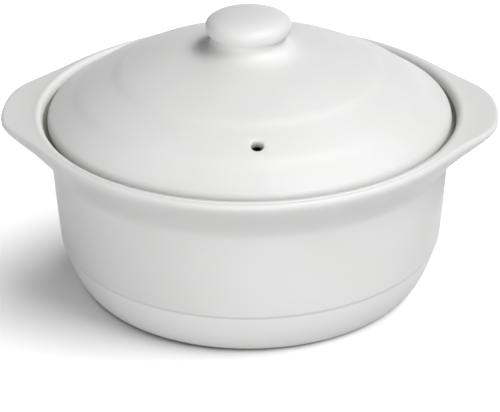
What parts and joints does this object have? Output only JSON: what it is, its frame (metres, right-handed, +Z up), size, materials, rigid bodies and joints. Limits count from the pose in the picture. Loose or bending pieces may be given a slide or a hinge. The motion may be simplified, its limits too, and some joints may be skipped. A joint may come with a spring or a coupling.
{
  "type": "lidded casserole pot",
  "caption": "Round glazed clay casserole with a flared rim drawn out into ears, a sunk gallery, and a domed lid with a mushroom knob and a steam vent.",
  "frame": {"origin": "on the table under the pot's centre, at the level of the foot ring", "axes": "+Z up along the axis of the pot and lid, +X along the line through the two ears, -Y towards the viewer of the picture"},
  "size_m": [0.2706, 0.2386, 0.1527],
  "materials": {
    "pot_glaze": "satin white glaze",
    "lid_glaze": "satin white glaze",
    "knob_glaze": "satin white glaze"
  },
  "bodies": {
    "pot": {"pot": "pot_glaze"},
    "lid": {"lid": "lid_glaze", "lid_knob": "knob_glaze"}
  },
  "joints": [
    {"name": "lid_lift", "type": "slide", "parent": "pot", "child": "lid", "axis": [0, 0, 1], "range_m": [0, 0.12]}
  ]
}
